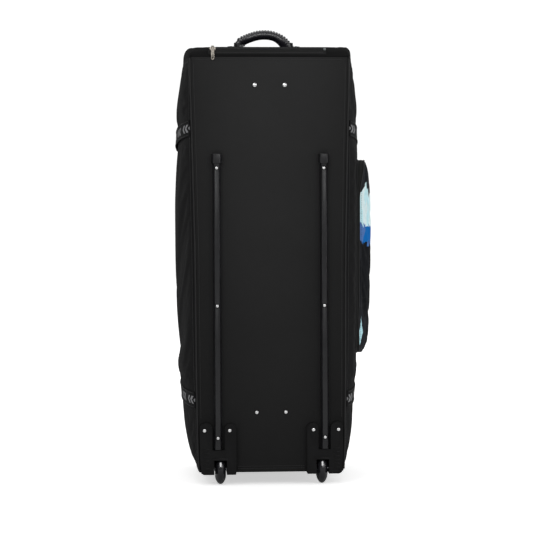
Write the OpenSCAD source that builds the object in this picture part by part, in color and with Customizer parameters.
// Wheeled hockey equipment bag, standing upright on two wheels and a foot bar.
// Frame: +Z up, +X to the right of somebody who looks at the base side,
// the base side (rails and wheels) faces -Y. The origin is the centre of the
// foot bar's floor face. All lengths are millimetres.
// Pieces are drawn with the base face at y = 0, then moved by at_bag().

/* [Bag body] */
// Depth of the sewn body from the base face to the front seam
bag_d = 345; // [320:1:370]
// Height of the head end seam above the floor
seam_z = 958; // [930:1:985]
// Extra bulge of the side panels at mid depth
side_bulge = 0; // [-10:1:12]
// Thickness of the padded panels
panel_t = 3; // [2.4:0.1:3.4]
// Thickness of the stiff base board
board_t = 4; // [3:0.5:5]

/* [Base hardware] */
// Distance of each skid rail from the middle
rail_x = 119.5; // [117:0.5:122]
// Width of a skid rail at its foot
rail_w = 18; // [15:0.5:20]
// Height of a skid rail above the fabric
rail_h = 11; // [8:0.5:12]
// Top end of the skid rails
rail_top = 737; // [650:1:780]
// Radius of the upper board rivet heads
rivet_head_r = 5.5; // [4.5:0.1:6]

/* [Wheels] */
// Wheel radius
wheel_r = 34; // [32:0.5:35]
// Wheel width
wheel_w = 24; // [22:0.5:25]
// Distance of each wheel from the middle
wheel_x = 114; // [112:0.5:115]

/* [Lid] */
// Half width of the lid opening to the middle of the zip
lid_hw = 150; // [146:0.5:152]
// Crown of the lid
lid_crown = 15; // [8:1:20]

/* [Handles] */
// Half span of the grab handle pivots
grip_span = 58; // [54:1:62]
// Height of a carry loop above the front seam
loop_h = 96; // [70:1:120]
// Width of the carry webbing
web_w = 36; // [25:1:40]

/* [Side pocket] */
// Depth of the pocket gusset
gusset_h = 14; // [10:1:18]
// Dome of the pocket face
pocket_dome = 13; // [8:1:16]

/* [Hidden] */

foot_y = 312;         // depth of the foot bar behind the base face
floor_z = 28.6;       // outer face of the foot end
front_y = 371.5;      // plane of the lid zip
station_depth = 345;  // depth that the side panel and strap stations span
bore_r = 2.6;         // every rivet and foot bar screw hole

trim_black = [0.1, 0.1, 0.1];
moulded_black = [0.11, 0.11, 0.11];
fitting_black = [0.12, 0.12, 0.12];
fabric_black = [0.13, 0.13, 0.13];
zip_grey = [0.2, 0.2, 0.2];
board_grey = [0.25, 0.25, 0.26];
steel = [0.7, 0.7, 0.7];
bright_metal = [0.75, 0.75, 0.75];
slider_metal = [0.45, 0.42, 0.38];
puller_metal = [0.5, 0.47, 0.42];

// ---- body shape ------------------------------------------------------------
// [height, half width] at the base seam
base_half = [[20, 159], [60, 161], [190, 164], [520, 166], [745, 171], [900, 175.5],
  [960, 176], [1000, 176]];
// [height, half width] at mid depth
mid_half = [[20, 161], [36, 170], [54, 181], [77, 187], [124, 196], [172, 200.6], [266, 207],
  [400, 212.5], [525, 214.6], [643, 214.6], [761, 211.5], [879, 206], [960, 198.5], [1000, 198]];

function base_x(z) = lookup(z, base_half);
function mid_x(z) = lookup(z, mid_half) + side_bulge * max(0, 1 - pow((z - 500) / 480, 2));
// share of the mid depth bulge, t = 0..1 through the depth
function swell(t) = pow(max(0, 4 * t * (1 - t)), 0.6);
function side_x(y, z) = base_x(z) + (mid_x(z) - base_x(z)) * swell(y / bag_d);

// height of the head end, across = -1..1 over the width
function head_edge(u) = pow(max(0, 1 - pow(abs(u), 8)), 0.3);
function head_z(across, y) = let (u = 2 * y / bag_d - 1)
  seam_z + (20 * head_edge(u) + 22 * (1 - u * u))
    * pow(max(0, 1 - pow(abs(across), 12)), 0.25);

// ---- shared helpers ----------------------------------------------------------
function unit(v) = v / max(1e-9, norm(v));
function flatten(grid) = [for (row = grid) for (point = row) point];
// 2D or 3D points mirrored to the other side of x = 0, in reverse order
function mirrored(points) = [for (i = [len(points) - 1 : -1 : 0]) let (p = points[i])
  concat([-p[0]], [for (k = [1 : len(p) - 1]) p[k]])];
function symmetric(half) = concat(half, mirrored(half));
// half width near an end with rounded corners, edge = distance from that end
function rounded_half(half, radius, edge) = edge > radius ? half
  : half - radius + sqrt(max(0, radius * radius - pow(radius - edge, 2)));

module at_bag() { translate([0, -foot_y, 0]) children(); }
module to_left() { mirror([1, 0, 0]) children(); }
module xz_plate(y0, t) { translate([0, y0 + t, 0]) rotate([90, 0, 0]) linear_extrude(t) children(); }
module hole_y(x, z, r) { translate([x, 30, z]) rotate([90, 0, 0]) cylinder(h = 60, r = r, $fn = 32); }
module along_x(x0, length, r, fn = 40) {
  translate([x0, 0, 0]) rotate([0, 90, 0]) cylinder(h = length, r = r, $fn = fn);
}

// closed solid between two equal grids of points
module shell(outer, inner) {
  ni = len(outer);
  nj = len(outer[0]);
  q = ni * nj;        // first point of the inner grid
  last = q - nj;      // first point of the last outer row
  faces = concat(
    [for (i = [0 : ni - 2]) for (j = [0 : nj - 2]) let (a = i * nj + j, b = a + nj) each [
      [a, a + 1, b + 1], [a, b + 1, b],
      [q + a, q + b + 1, q + a + 1], [q + a, q + b, q + b + 1]]],
    [for (i = [0 : ni - 2]) let (a = i * nj, b = a + nj, c = b - 1, d = c + nj) each [
      [a, b, q + b], [a, q + b, q + a],
      [c, q + d, d], [c, q + c, q + d]]],
    [for (j = [0 : nj - 2]) let (a = last + j) each [
      [j, q + j + 1, j + 1], [j, q + j, q + j + 1],
      [a, a + 1, q + a + 1], [a, q + a + 1, q + a]]]);
  polyhedron(points = concat(flatten(outer), flatten(inner)), faces = faces, convexity = 6);
}

// closed ring solid from a list of closed rings of equal length
module ring_solid(rings) {
  k = len(rings);
  n = len(rings[0]);
  polyhedron(points = flatten(rings), convexity = 6,
    faces = [for (i = [0 : k - 1]) for (j = [0 : n - 1]) each
      let (next = (i + 1) % k, a = i * n + j, b = i * n + (j + 1) % n,
        c = next * n + (j + 1) % n, d = next * n + j)
      [[a, b, c], [a, c, d]]]);
}

// capped tube of radius r along a path of points
module tube(path, r, n) {
  m = len(path);
  rings = [for (i = [0 : m - 1]) let (
      along = unit(path[min(i + 1, m - 1)] - path[max(i - 1, 0)]),
      e = unit(cross(along, abs(along[1]) < 0.9 ? [0, 1, 0] : [1, 0, 0])),
      g = cross(along, e))
    [for (j = [0 : n - 1]) path[i] + r * (cos(360 * j / n) * e + sin(360 * j / n) * g)]];
  polyhedron(points = flatten(rings), convexity = 6, faces = concat(
    [for (i = [0 : m - 2]) for (j = [0 : n - 1])
      let (a = i * n + j, b = i * n + (j + 1) % n) each
      [[a, b + n, b], [a, a + n, b + n]]],
    [[for (j = [0 : n - 1]) j]],
    [[for (j = [n - 1 : -1 : 0]) (m - 1) * n + j]]));
}

// ---- base side -----------------------------------------------------------
board_y = 2.7;                   // outer face of the base board
board_back = board_y + board_t;  // face of the board inside the bag
wheel_slot_hw = 18.5;            // half width of the wheel cut-outs in the base

// rivet places, on both sides of the middle
rail_rivet_zs = [707, 400, 106];
housing_rivet_xs = [93.5, 149.5];
housing_rivet_z = 123;
upper_rivet = [33.5, 893];
lower_rivet = [32.5, 162];
rivet_places = concat(
  [for (z = rail_rivet_zs) [rail_x, z]],
  [for (x = housing_rivet_xs) [x, housing_rivet_z]],
  [upper_rivet, lower_rivet]);

module base_outline(inset, z0, z1) {
  polygon(symmetric([for (z = [z0, 60, 190, 350, 520, 745, 900, z1]) [base_x(z) - inset, z]]));
}

module base_holes() {
  for (side = [-1, 1]) {
    for (p = rivet_places) hole_y(side * p[0], p[1], bore_r);
    translate([side * wheel_x - wheel_slot_hw, -20, 0]) cube([2 * wheel_slot_hw, 60, 78.5]);
  }
}

module base_panel() color([0.16, 0.16, 0.16]) at_bag() difference() {
  xz_plate(0, 2.5) base_outline(1.8, floor_z + 0.2, seam_z - 2.6);
  base_holes();
}

module base_board() color(board_grey) at_bag() difference() {
  xz_plate(board_y, board_t) base_outline(8, 37, seam_z - 8);
  base_holes();
}

// ---- side panels ----------------------------------------------------------
side_ys = [3.4, 7, 14, 26, 48, 90, 140, 190, 240, 290, 318, 331, 338, 341.6];
side_zs = [33.5, 42, 54, 77, 124, 200, 300, 420, 540, 660, 780, 880, 930, 954.5];

// outward normal of the right side
function side_normal(y, z) = let (e = 0.5,
    along_y = [(side_x(y + e, z) - side_x(y - e, z)) / (2 * e), 1, 0],
    along_z = [(side_x(y, z + e) - side_x(y, z - e)) / (2 * e), 0, 1])
  unit(cross(along_y, along_z));
// point on the right side, lifted off it along the normal
function side_pt(y, z, lift) = [side_x(y, z), y * bag_d / station_depth, z]
  + lift * side_normal(min(max(y, 3), bag_d - 3), z);
function side_grid(lift) = [for (y = side_ys) [for (z = side_zs) side_pt(y, z, lift)]];

module side_panel() { shell(side_grid(0), side_grid(-panel_t)); }
module side_panel_right() color(fabric_black) at_bag() side_panel();
module side_panel_left() color(fabric_black) at_bag() to_left() side_panel();

// ---- head end --------------------------------------------------------------
head_vs = [-0.96, -0.88, -0.78, -0.66, -0.5, -0.33, -0.16, 0,
  0.16, 0.33, 0.5, 0.66, 0.78, 0.88, 0.96];
head_ys = [1.2, 3, 6, 10, 18, 36, 70, 120, 172, 225, 275, 309, 327, 335, 339, 342];

// spreads evenly spaced stations towards the two sides
function to_sides(v) = sign(v) * (1 - pow(1 - abs(v), 3));
function head_pt(v, y, lift) = let (across = to_sides(v), half = side_x(y, seam_z),
    ea = 0.002, ey = 0.4,
    along_x = [half * 2 * ea, 0, head_z(across + ea, y) - head_z(across - ea, y)],
    along_y = [0, 2 * ey, head_z(across, y + ey) - head_z(across, y - ey)])
  [across * half, y, head_z(across, y)] + lift * unit(cross(along_x, along_y));
function head_grid(lift) = [for (y = head_ys) [for (v = head_vs) head_pt(v, y, lift)]];

module head_end_panel() color([0.14, 0.14, 0.14]) at_bag() shell(head_grid(0), head_grid(-2.2));

// closed outline round the body at a height, inset from the outer surface
function body_ring(z, inset) = let (
    right = [for (y = [4, 12, 30, 70, 130, 190, 250, 300, 327, 338])
      [side_x(y, z) - inset, y, z]],
    half = base_x(z) - inset)
  concat(right,
    [for (x = [0.9, 0.45, 0, -0.45, -0.9]) [x * half, bag_d - 1 - inset, z]],
    mirrored(right),
    [for (x = [-0.9, -0.45, 0, 0.45, 0.9]) [x * half, 1.2 + inset, z]]);

module head_seam_binding() color(trim_black) at_bag()
  ring_solid([body_ring(seam_z - 2.2, 0.2), body_ring(seam_z - 1.2, 0.2),
    body_ring(seam_z - 1.2, 2.4), body_ring(seam_z - 2.2, 2.4)]);

// ---- foot end --------------------------------------------------------------
foot_ys = [2.9, 10, 25, 60, 110, 172, 235, 285, 320, 335, 342];
bar_screw_xs = [-90, -32, 32, 90];

// stations beyond y0..y1 are pulled in; the y / 1e4 keeps their points apart
module foot_outline(inset, y0, y1) {
  polygon(symmetric([for (y = foot_ys)
    [side_x(min(max(y, y0), y1), 34) - inset, min(max(y, y0 + y / 1e4), y1 + y / 1e4)]]));
}
module foot_cuts() {
  for (side = [-1, 1]) translate([side * wheel_x - 22.5, -20, 0]) cube([45, 84, 60]);
  for (x = bar_screw_xs) translate([x, foot_y, 0]) cylinder(h = 60, r = bore_r, $fn = 32);
}

module foot_end_panel() color(fabric_black) at_bag() difference() {
  translate([0, 0, floor_z]) linear_extrude(2) foot_outline(1.5, 2.9, 342);
  foot_cuts();
}
module foot_end_board() color(board_grey) at_bag() difference() {
  translate([0, 0, floor_z + 2.3]) linear_extrude(4) foot_outline(9, 9, 334);
  foot_cuts();
}

// ---- front rim -------------------------------------------------------------
lid_z0 = 64.5;    // lid edge at the hinge
lid_z1 = 924;     // middle of the zip at the head end
lid_r = 62;       // corner radius of the middle of the zip
rim_gap = 5.8;    // middle of the zip to the rim's edge
shoulder = 0.62;  // share of the base seam width in the shoulder's width

// half width: share 1 follows the base seam, share 0 the rim's zip edge
function rim_half(share, inset, z) =
  base_x(z) * share + (lid_hw + rim_gap) * (1 - share) - inset;
// closed outline at depth y over heights z0..z1, with foot and head corner radii
function rim_ring(share, inset, z0, z1, foot_r, head_r, y) = let (
    za = z0 + foot_r, zb = z1 - head_r,
    foot_half = rim_half(share, inset, za), head_half = rim_half(share, inset, zb),
    right = concat(
      [[(foot_half - foot_r) / 2, y, z0]],
      [for (a = [90, 60, 30]) [foot_half - foot_r * (1 - cos(a)), y, za - foot_r * sin(a)]],
      [for (i = [0 : 10]) let (z = za + (zb - za) * i / 10) [rim_half(share, inset, z), y, z]],
      [for (a = [15 : 15 : 90]) [head_half - head_r * (1 - cos(a)), y, zb + head_r * sin(a)]],
      [[(head_half - head_r) / 2, y, z1]]))
  concat([[0, y, z0]], right, [[0, y, z1]], mirrored(right));

// seam, shoulder and zip edge outside, then the same inside
module front_rim() color(fabric_black) at_bag()
  ring_solid([
    rim_ring(1, 1.5, 35, seam_z - 3, 6, 8, bag_d - 0.8),
    rim_ring(shoulder, 0, 40, seam_z - 7, 10, 22, bag_d + 17),
    rim_ring(0, 0, 55, lid_z1 + rim_gap, 10, lid_r + rim_gap, front_y),
    rim_ring(0, 0, 55, lid_z1 + rim_gap, 10, lid_r + rim_gap, front_y - 2.4),
    rim_ring(shoulder, 2.2, 42.6, seam_z - 9.6, 10, 22, bag_d + 15),
    rim_ring(1, 4.1, 37.6, seam_z - 5.6, 6, 8, bag_d - 0.2)]);

module front_seam_binding() color(trim_black) at_bag()
  ring_solid([
    rim_ring(1, 1.5, 34, seam_z - 2.9, 6, 8, bag_d - 2.6),
    rim_ring(1, 1.5, 34, seam_z - 2.9, 6, 8, bag_d - 1.4),
    rim_ring(1, 4, 36.5, seam_z - 5.4, 6, 8, bag_d - 1.4),
    rim_ring(1, 4, 36.5, seam_z - 5.4, 6, 8, bag_d - 2.6)]);

// ---- lid ---------------------------------------------------------------------
lid_gap = 5.6;  // middle of the zip to the lid panel's edge
hinge_z = 61;   // lid hinge axis
cord_hl = lid_hw - 8;
lid_vs = [0, 0.02, 0.06, 0.14, 0.26, 0.4, 0.54, 0.68, 0.8, 0.9,
  0.925, 0.95, 0.97, 0.985, 0.995, 1];
lid_us = [-1, -0.97, -0.9, -0.75, -0.5, -0.25, 0, 0.25, 0.5, 0.75, 0.9, 0.97, 1];

// u = -1..1 across, v = 0..1 from the hinge to the head end
function lid_pt(u, v, lift) = let (top = lid_z1 - lid_gap,
    z = lid_z0 + (top - 0.4 - lid_z0) * v,
    half = rounded_half(lid_hw - lid_gap, lid_r - lid_gap, top - z),
    dome = pow(1 - pow(abs(u), 2.4), 0.8) * pow(1 - pow(abs(2 * v - 1), 8), 0.6))
  [u * half, front_y - 0.4 + lid_crown * dome + lift, z];
function lid_grid(lift) = [for (v = lid_vs) [for (u = lid_us) lid_pt(u, v, lift)]];

module lid_panel() color([0.15, 0.15, 0.15]) at_bag() shell(lid_grid(0), lid_grid(-2.6));

// flat shape of the lid opening, grown from the middle of the zip
module lid_flat(grow) {
  r = lid_r + grow;
  half = lid_hw + grow;
  top = lid_z1 + grow;
  translate([-half, lid_z0]) square([2 * half, top - r - lid_z0]);
  translate([-(half - r), lid_z0]) square([2 * (half - r), top - lid_z0]);
  for (side = [-1, 1]) translate([side * (half - r), top - r]) circle(r = r, $fn = 96);
}
// band round the opening between two offsets from the middle of the zip
module zip_band(inner, outer, y0, t) {
  xz_plate(y0, t) difference() {
    lid_flat(outer);
    lid_flat(inner);
    translate([-400, lid_z0 - 20]) square([800, 20.5]);
  }
}
module zip_tape(inner, outer) { zip_band(inner, outer, front_y - 1.7, 1); }
module zip_ridge(inner, outer) { zip_band(inner, outer, front_y - 2.4, 2.4); }

module lid_zip_half() color(zip_grey) at_bag() union() {
  zip_tape(-5.4, -1.5);
  zip_ridge(-2.8, -0.8);
}
module rim_zip_half() color(zip_grey) at_bag() union() {
  zip_tape(1.5, 5);
  zip_ridge(0.8, 2.8);
}
module lid_hinge_cord() color(trim_black) at_bag()
  translate([0, front_y - 1.6, hinge_z]) along_x(-cord_hl, 2 * cord_hl, 1.5, 24);

// ---- piping on the base seams --------------------------------------------------
piping_zs = [36, 60, 120, 190, 300, 420, 520, 640, 745, 840, 900, 950];
module piping() { tube([for (z = piping_zs) [base_x(z) + 1.9, 0.7, z]], 2.1, 8); }
module piping_right() color(trim_black) at_bag() piping();
module piping_left() color(trim_black) at_bag() to_left() piping();

// ---- skid rails ----------------------------------------------------------------
rail_y = -0.2;      // seat of the rails, just off the base face
rail_foot_z = 80.5;
rail_bore_depth = 2.4;

module rail_section(grow = 0) {
  half = rail_w / 2 + grow;
  polygon(symmetric([[half, 0], [half, -3 - grow], [half - 3.4, -rail_h - grow]]));
}
module rail(side) translate([side * rail_x, rail_y, 0]) difference() {
  translate([0, 0, rail_foot_z]) linear_extrude(rail_top - 6 - rail_foot_z) rail_section();
  for (z = rail_rivet_zs) translate([0, 10, z]) rotate([90, 0, 0]) {
    cylinder(h = 40, r = bore_r, $fn = 32);
    translate([0, 0, 10 + rail_h - rail_bore_depth]) cylinder(h = 20, r = 5.2, $fn = 40);
  }
}
module skid_rail_right() color(moulded_black) at_bag() rail(1);
module skid_rail_left() color(moulded_black) at_bag() rail(-1);

// caps over the top ends of the rails
module rail_caps() color(trim_black) at_bag() for (side = [-1, 1])
  translate([side * rail_x, rail_y, 0]) difference() {
    translate([0, 0, rail_top - 20]) linear_extrude(21.5)
      polygon(symmetric([[11.5, 0], [11.5, -3], [rail_w / 2 - 1.2, -rail_h - 1.6]]));
    // the socket is cut twice so that it opens through the seat face
    for (y = [0, 1]) translate([0, y, rail_top - 30]) linear_extrude(24.2) rail_section(0.15);
  }

// ---- rivets -----------------------------------------------------------------------
// rivet along Y: head towards -Y seated at seat_y, tail behind the board
module rivet(x, z, seat_y, head_r, head_h) {
  tail_y = board_back + 3.3;
  seat = tail_y - seat_y;
  translate([x, 0, z]) rotate([90, 0, 0]) translate([0, 0, -tail_y])
    rotate_extrude($fn = 40) polygon([
      [0, 0], [3.9, 0], [3.9, 1.4], [2.4, 1.6], [2.4, seat], [head_r, seat],
      [head_r, seat + head_h * 0.35], [head_r * 0.8, seat + head_h * 0.75],
      [head_r * 0.45, seat + head_h], [0, seat + head_h]]);
}
module rail_rivets() color(bright_metal) at_bag() for (side = [-1, 1]) for (z = rail_rivet_zs)
  rivet(side * rail_x, z, rail_y - rail_h + 2.3, 4.2, 2.4);
module housing_rivets() color(bright_metal) at_bag()
  for (side = [-1, 1]) for (x = housing_rivet_xs)
    rivet(side * x, housing_rivet_z, -8.3, 4.4, 2.2);
module board_rivets() color([0.8, 0.8, 0.8]) at_bag() for (side = [-1, 1]) {
  rivet(side * upper_rivet[0], upper_rivet[1], -0.1, rivet_head_r, 2.6);
  rivet(side * lower_rivet[0], lower_rivet[1], -0.1, rivet_head_r - 1, 2.4);
}
module rivet_washers() color([0.6, 0.6, 0.6]) at_bag()
  for (side = [-1, 1]) for (p = rivet_places)
    translate([side * p[0], board_back + 1.6, p[1]]) rotate([90, 0, 0]) difference() {
      cylinder(h = 1.4, r = 7, $fn = 40);
      translate([0, 0, -1]) cylinder(h = 4, r = bore_r, $fn = 32);
    }

// ---- wheel housings -------------------------------------------------------------
wheel_y = 22;       // wheel axis behind the base face
housing_x0 = 79;    // edge of the housing towards the middle
housing_x1 = 160;   // edge away from the middle
well_hw = 14;       // half width of the wheel opening

// upright tab with a round top
module ear(x0, x1, z0, z1) {
  r = (x1 - x0) / 2;
  translate([x0, z0]) square([x1 - x0, z1 - r - z0]);
  translate([x0 + r, z1 - r]) circle(r = r, $fn = 48);
}
module housing() difference() {
  union() {
    // face plate with its two rivet ears
    xz_plate(-8.2, 8) {
      ear(housing_x0, 104.5, 60, 138);
      ear(132, housing_x1, 60, 140);
      polygon([[housing_x0, 61], [housing_x0, 26.4], [81, 24.4], [151, 24.4], [157, 28],
        [housing_x1, 61]]);
      translate([housing_x0, 60]) square([housing_x1 - housing_x0, 19]);
    }
    // floor plate and box round the wheel
    translate([80, -6, 24.4]) cube([71, 74, 3.9]);
    translate([wheel_x - 17.5, -2, 27]) cube([35, 64, 50]);
    // row of ribs, and a lip above the opening
    for (i = [0 : 5]) translate([139, -9.2, 36 + 8.6 * i]) cube([13, 2, 3.6]);
    translate([wheel_x - 17.4, -10, 56.5]) cube([34.8, 3, 5]);
  }
  translate([wheel_x - well_hw, -20, 10]) cube([2 * well_hw, 20, 46.5]);
  translate([wheel_x - well_hw, -4.6, 10]) cube([2 * well_hw, 63.6, 64]);
  translate([0, wheel_y, wheel_r]) along_x(wheel_x - 30, 60, 4, 48);
  for (x = housing_rivet_xs) hole_y(x, housing_rivet_z, bore_r);
}
module wheel_housing_right() color(moulded_black) at_bag() housing();
module wheel_housing_left() color(moulded_black) at_bag() to_left() housing();

// ---- wheels -----------------------------------------------------------------------
tyre_in = 18;  // inner radius of the tyre

module on_axle(side) {
  translate([side * wheel_x, wheel_y, wheel_r]) rotate([0, 90, 0]) children();
}
module axle() rotate_extrude($fn = 48) polygon([[0, -21], [5.5, -21], [5.5, -18],
  [3.97, -18], [3.97, 18], [5.5, 18], [5.5, 21], [0, 21]]);

function tyre_hw(q) = wheel_w / 2 * sqrt(max(0, 1 - pow(q, 1.35)));
function tyre_pt(i, sign) = let (q = sin(90 * i / 12))
  [tyre_in + (wheel_r - tyre_in) * q, sign * tyre_hw(q)];
module tyre() rotate_extrude($fn = 96) polygon(concat(
  [for (i = [0 : 11]) tyre_pt(i, 1)],
  [[wheel_r, 0]],
  [for (i = [11 : -1 : 0]) tyre_pt(i, -1)]));

module hub() rotate_extrude($fn = 64) polygon([
  [9, -3.4], [9, 3.4], [11.02, 3.4], [11.02, 11.2], [13.6, 11.2], [14.2, 5], [17.96, 6],
  [17.96, -6], [14.2, -5], [13.6, -11.2], [11.02, -11.2], [11.02, -3.4]]);
module bearing_pair() for (side = [-1, 1]) translate([0, 0, side * 7]) difference() {
  cylinder(h = 7, r = 11, center = true, $fn = 64);
  cylinder(h = 9, r = 4, center = true, $fn = 48);
}

module axle_right() color(steel) at_bag() on_axle(1) axle();
module axle_left() color(steel) at_bag() on_axle(-1) axle();
module tyre_right() color(trim_black) at_bag() on_axle(1) tyre();
module tyre_left() color(trim_black) at_bag() on_axle(-1) tyre();
module hub_right() color([0.2, 0.2, 0.2]) at_bag() on_axle(1) hub();
module hub_left() color([0.2, 0.2, 0.2]) at_bag() on_axle(-1) hub();
module bearings_right() color(steel) at_bag() on_axle(1) bearing_pair();
module bearings_left() color(steel) at_bag() on_axle(-1) bearing_pair();

// ---- foot bar ---------------------------------------------------------------------
bar_l = 220;
module foot_bar() color(trim_black) at_bag() difference() {
  translate([-bar_l / 2, foot_y, 0]) rotate([90, 0, 90]) linear_extrude(bar_l)
    polygon(symmetric([[9, 0], [12, 3], [15, 25], [15, 28.3]]));
  for (x = bar_screw_xs) translate([x, foot_y, 0]) {
    translate([0, 0, -1]) cylinder(h = 13, r = 5.4, $fn = 40);
    cylinder(h = 60, r = bore_r, $fn = 32);
  }
}
module foot_bar_screws() color(steel) at_bag() for (x = bar_screw_xs)
  translate([x, foot_y, 0]) rotate_extrude($fn = 40)
    polygon([[0, 8.6], [4.6, 8.6], [4.6, 11.9], [2.4, 11.9], [2.4, 38.6], [0, 38.6]]);

// ---- sewn webbing on the side panels ------------------------------------------------
strap_ys = [5, 9, 16, 28, 50, 90, 140, 190, 240, 290, 318, 331, 339];
// the strap's middle runs from z0 at the base to z1 at the front
function strap_grid(z0, z1, lift) = [for (y = strap_ys)
  let (z = z0 + (z1 - z0) * y / station_depth)
  [for (w = [-0.5, -0.17, 0.17, 0.5]) side_pt(y, z + w * web_w, lift)]];
module side_strap(z0, z1) { shell(strap_grid(z0, z1, 1.9), strap_grid(z0, z1, 0.5)); }
module straps() {
  side_strap(797, 775);
  side_strap(190, 216);
}
module strap_right() color(trim_black) at_bag() straps();
module strap_left() color(trim_black) at_bag() to_left() straps();

// ---- carry loops ------------------------------------------------------------------
loop_x = 178;
loop_z = 495.5;       // mid height of a loop
loop_hl = 279.5;      // half length along the seam
loop_t = 2.4;
loop_web_hw = 12.5;   // half width of the loop's webbing
wrap_l = 124;

// centre line of the arch as [distance in front of the seam, height]
function loop_mid(a) = [loop_h * pow(abs(sin(a)), 0.75),
  loop_z + loop_hl * sign(cos(a)) * pow(abs(cos(a)), 0.85)];
function loop_edge(a, offset) =
  let (along = unit(loop_mid(min(a + 2, 180)) - loop_mid(max(a - 2, 0))))
  loop_mid(a) + offset * [-along[1], along[0]];

module loop() translate([loop_x - loop_t / 2, bag_d + 2, 0]) rotate([90, 0, 90])
  linear_extrude(loop_t) polygon(concat(
    [for (i = [0 : 24]) loop_edge(i * 7.5, loop_web_hw)],
    [for (i = [24 : -1 : 0]) loop_edge(i * 7.5, -loop_web_hw)]));
// padded wrap round the middle of a loop
module loop_wrap() translate([loop_x, bag_d + 2 + loop_h, loop_z]) difference() {
  translate([0, 0, -wrap_l / 2]) linear_extrude(wrap_l) union() {
    translate([-7, -13.5]) square([14, 27]);
    for (side = [-1, 1]) translate([0, side * 13.5]) circle(r = 7, $fn = 40);
  }
  translate([-1.5, -16, -80]) cube([3, 32, 160]);
}
module loop_right() color(trim_black) at_bag() loop();
module loop_left() color(trim_black) at_bag() to_left() loop();
module loop_wrap_right() color(fitting_black) at_bag() loop_wrap();
module loop_wrap_left() color(fitting_black) at_bag() to_left() loop_wrap();

// ---- grab handle on the head end ------------------------------------------------------
handle_pos = [-5, 172, 1006];  // middle of the pivot axis, from the base face
arch_r = 74;
arch_a = asin(grip_span / arch_r);  // half angle of the arch
arch_drop = arch_r * cos(arch_a);   // arch centre below the pivots
plate_z = -5.4;                     // underside of the mounts
cheek_x = grip_span + 9;            // middle of the upright cheeks
pin_l = 17.2;

module at_handle() { translate(handle_pos) children(); }
// sweeps a section along the arch, through the half angle a on each side
module arch(a) {
  translate([0, 0, -arch_drop]) rotate([90, 0, 0]) rotate([0, 0, 90 - a])
    rotate_extrude(angle = 2 * a, $fn = 128) translate([arch_r, 0]) children();
}
module at_plate_screws(side, z) {
  for (q = [-1, 1]) translate([side * (grip_span + 19), q * 7, z]) children();
}

module handle_core() color([0.15, 0.15, 0.15]) at_bag() at_handle() difference() {
  union() {
    arch(arch_a - 3) square([9, 9], center = true);
    for (side = [-1, 1]) along_x(side * grip_span - 6, 12, 5.2);
  }
  for (side = [-1, 1]) along_x(side * grip_span - 10, 20, 3.06);
}
module handle_grip() color([0.12, 0.12, 0.13]) at_bag() at_handle()
  arch(arch_a - 15) difference() {
    union() {
      circle(r = 10.5, $fn = 48);
      for (side = [-1, 1]) translate([0, side * 3.2]) circle(r = 10.5, $fn = 48);
    }
    square([9.3, 9.3], center = true);
  }
module handle_mounts() color(fitting_black) at_bag() at_handle()
  for (side = [-1, 1]) difference() {
    union() {
      translate([side * (grip_span + 16.4) - 10, -12, plate_z]) cube([20, 24, 3]);
      translate([side * cheek_x - 2.2, -8, -4]) cube([4.4, 16, 4]);
      along_x(side * cheek_x - 2.2, 4.4, 8);
    }
    // clears everything below the underside
    translate([side * grip_span - 30, -20, -20]) cube([60, 40, 20 + plate_z]);
    along_x(side * cheek_x - 10, 20, 3.03);
    along_x(side * grip_span - 6.6, 13.2, 5.8);
    at_plate_screws(side, -12) cylinder(h = 20, r = 1.9, $fn = 32);
  }
module handle_pins() color(steel) at_bag() at_handle() for (side = [-1, 1])
  along_x(side * (grip_span + 2.6) - pin_l / 2, pin_l, 3);
module handle_plate_screws() color(steel) at_bag() at_handle() for (side = [-1, 1])
  at_plate_screws(side, -2.3) union() {
    cylinder(h = 1.2, r = 2.8, $fn = 32);
    translate([0, 0, -3]) cylinder(h = 3.5, r = 1.8, $fn = 32);
  }

// ---- zip sliders and pullers ----------------------------------------------------------
puller_l = 30;    // pin to the tip
puller_w = 7;
slider_pin = 4.2; // pin above the underside of a lid or pocket slider plate

// top plate on z = 0..t, its ends rounded to radius r
module slider_plate(size_x, size_y, t, r) intersection() {
  translate([-size_x / 2, -size_y / 2, 0]) cube([size_x, size_y, t]);
  cylinder(h = 6, r = r, center = true, $fn = 48);
}
// two lugs from height z0 and the puller pin between them
module slider_lugs(z0, lug_h, pin_z) {
  for (side = [-1, 1]) translate([side * 3 - 0.6, -1.3, z0]) cube([1.2, 2.6, lug_h]);
  translate([0, 0, pin_z]) along_x(-3, 6, 0.9, 24);
}
// knuckle on the x axis, blade towards -z
module puller() {
  tip_z = -puller_l + puller_w / 2;
  difference() {
    union() {
      along_x(-1.9, 3.8, 1.75, 32);
      translate([-1.9, -0.6, -6]) cube([3.8, 1.2, 6]);
      translate([-puller_w / 2, -0.6, tip_z]) cube([puller_w, 1.2, puller_l - puller_w / 2 - 5.4]);
      translate([0, 0.6, tip_z]) rotate([90, 0, 0]) cylinder(h = 1.2, r = puller_w / 2, $fn = 40);
    }
    along_x(-4, 8, 0.97, 32);
    translate([0, 4, tip_z + 0.4]) rotate([90, 0, 0]) cylinder(h = 8, r = puller_w / 4, $fn = 32);
  }
}

// head end zip: straight along X on the rounded edge near the base, tilted 45 degrees
head_zip_y = 3.3;
head_zip_z = seam_z + 14.4;
head_zip_x0 = -134;
head_zip_l = 255;
head_slider_x = -127;
head_slider_lift = 1.4;  // slider plate above the middle of the zip
head_pin = 7.4;          // pin above the underside of the plate
head_pin_lift = head_slider_lift + head_pin;

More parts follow.
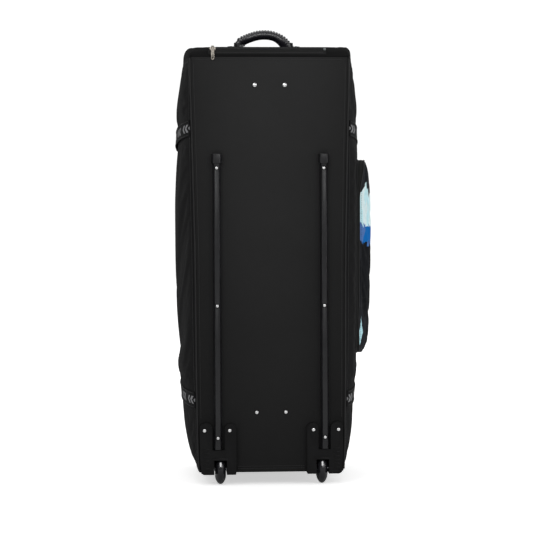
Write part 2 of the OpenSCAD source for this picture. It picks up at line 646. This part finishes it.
module at_head_zip() { translate([0, head_zip_y, head_zip_z]) rotate([45, 0, 0]) children(); }
module head_zip_strip(y0) { translate([head_zip_x0, y0, -1.1]) cube([head_zip_l, 2.6, 2.2]); }
module head_zip_lower() color(zip_grey) at_bag() at_head_zip() head_zip_strip(-3);
module head_zip_upper() color(zip_grey) at_bag() at_head_zip() head_zip_strip(0.4);
module head_zip_stop() color(bright_metal) at_bag() at_head_zip()
  translate([head_zip_x0 + head_zip_l + 0.3, -3.6, -1.2]) cube([5, 7.2, 3.6]);
module head_slider() color(slider_metal) at_bag() at_head_zip()
  translate([head_slider_x, 0, head_slider_lift]) {
    slider_plate(13, 8.4, 1.9, 7);
    for (side = [-1, 1]) translate([-6, side * 3.8 - 0.4, -1.6]) cube([12, 0.8, 2]);
    slider_lugs(1.4, 7, head_pin);
  }
module head_puller() color(puller_metal) at_bag()
  translate([head_slider_x, head_zip_y - head_pin_lift * sin(45),
    head_zip_z + head_pin_lift * cos(45)]) puller();

// lid sliders on the right long edge of the zip, facing +Y
upper_slider_z = 520;
lower_slider_z = 470;
module at_lid_slider(z) { translate([lid_hw, front_y + 0.4, z]) children(); }
module lid_slider_body() rotate([-90, 0, 0]) {
  slider_plate(9.2, 14, 1.8, 7.4);
  slider_lugs(1, 4.2, slider_pin);
  translate([-0.5, -5, -4.2]) cube([1, 10, 4.6]);
  translate([-4.4, -6, -4.2]) cube([4.9, 12, 1]);
}
module lid_slider_upper() color(slider_metal) at_bag()
  at_lid_slider(upper_slider_z) lid_slider_body();
module lid_slider_lower() color(slider_metal) at_bag()
  at_lid_slider(lower_slider_z) lid_slider_body();
module lid_puller_upper() color(puller_metal) at_bag()
  at_lid_slider(upper_slider_z) translate([0, slider_pin, 0]) mirror([0, 0, 1]) puller();
module lid_puller_lower() color(puller_metal) at_bag()
  at_lid_slider(lower_slider_z) translate([0, slider_pin, 0]) puller();

// ---- pocket on the right side -----------------------------------------------------------
pocket_y0 = 70;
pocket_y1 = 300;
pocket_z0 = 293;
pocket_z1 = 727;
pocket_r = 38;
pocket_zip_x = side_x(pocket_y1, 540) + 7.4;

// rounded outline on the side panel; each corner arc is followed by a straight
function pocket_ring(lift, inset) = let (r = pocket_r - inset,
    ya = pocket_y0 + pocket_r, yb = pocket_y1 - pocket_r,
    za = pocket_z0 + pocket_r, zb = pocket_z1 - pocket_r,
    centres = [[yb, za], [yb, zb], [ya, zb], [ya, za]])
  [for (k = [0 : 3]) let (
      out = r * [cos(90 * k), sin(90 * k)],
      start = centres[k] + out, end = centres[(k + 1) % 4] + out,
      steps = k % 2 == 0 ? 7 : 4)
    for (p = concat(
      [for (i = [0 : 3]) let (a = 90 * (k - 1) + 22.5 * i) centres[k] + r * [cos(a), sin(a)]],
      [for (i = [0 : steps - 1]) start + (end - start) * i / steps]))
    [side_x(p[0], p[1]) + lift, p[0], p[1]]];
module pocket_gusset() color(moulded_black) at_bag()
  ring_solid([pocket_ring(0.9, 2.4), pocket_ring(gusset_h, 2.4),
    pocket_ring(gusset_h, 0), pocket_ring(0.9, 0)]);

pocket_vs = [0, 0.02, 0.05, 0.1, 0.2, 0.35, 0.5, 0.65, 0.8, 0.9, 0.95, 0.98, 1];
pocket_us = [-1, -0.94, -0.84, -0.65, -0.35, 0, 0.35, 0.65, 0.84, 0.94, 1];
// u = -1..1 through the depth, v = 0..1 upwards
function pocket_pt(u, v, lift) = let (
    z = pocket_z0 + 1 + (pocket_z1 - pocket_z0 - 2) * v,
    half = rounded_half((pocket_y1 - pocket_y0) / 2 - 1, pocket_r,
      min(z - pocket_z0, pocket_z1 - z)),
    y = (pocket_y0 + pocket_y1) / 2 + u * half,
    dome = pow(max(0, 1 - pow(abs(u), 3)), 0.7) * pow(max(0, 1 - pow(abs(2 * v - 1), 6)), 0.7))
  [side_x(y, z) + gusset_h + 0.5 + lift + pocket_dome * dome, y, z];
function pocket_grid(lift) = [for (u = pocket_us) [for (v = pocket_vs) pocket_pt(u, v, lift)]];
module pocket_face() color([0.35, 0.6, 0.75]) at_bag() shell(pocket_grid(1.8), pocket_grid(0));

module pocket_zip() color(zip_grey) at_bag()
  translate([pocket_zip_x - 3, pocket_y1 + 0.5, 370]) cube([6, 2.2, 320]);
module at_pocket_slider() { translate([pocket_zip_x, pocket_y1 + 3, 664]) children(); }
module pocket_slider() color(slider_metal) at_bag() at_pocket_slider() rotate([-90, 0, 0]) {
  slider_plate(8.8, 14, 1.8, 7.4);
  for (side = [-1, 1]) translate([side * 3.9 - 0.5, -6, -1.8]) cube([1, 12, 2.2]);
  slider_lugs(1, 4.2, slider_pin);
}
module pocket_puller() color(puller_metal) at_bag()
  at_pocket_slider() translate([0, slider_pin, 0]) puller();

base_panel();
base_board();
side_panel_left();
side_panel_right();
head_end_panel();
foot_end_panel();
foot_end_board();
front_rim();
piping_left();
piping_right();
head_seam_binding();
front_seam_binding();
skid_rail_left();
skid_rail_right();
rail_caps();
rail_rivets();
wheel_housing_left();
wheel_housing_right();
housing_rivets();
board_rivets();
rivet_washers();
axle_left();
axle_right();
tyre_left();
tyre_right();
hub_left();
hub_right();
bearings_left();
bearings_right();
foot_bar();
foot_bar_screws();
strap_left();
strap_right();
handle_mounts();
handle_pins();
handle_plate_screws();
handle_core();
handle_grip();
head_zip_lower();
head_zip_upper();
head_zip_stop();
head_slider();
head_puller();
lid_panel();
lid_zip_half();
rim_zip_half();
lid_hinge_cord();
lid_slider_upper();
lid_slider_lower();
lid_puller_upper();
lid_puller_lower();
pocket_gusset();
pocket_face();
pocket_zip();
pocket_slider();
pocket_puller();
loop_left();
loop_right();
loop_wrap_left();
loop_wrap_right();
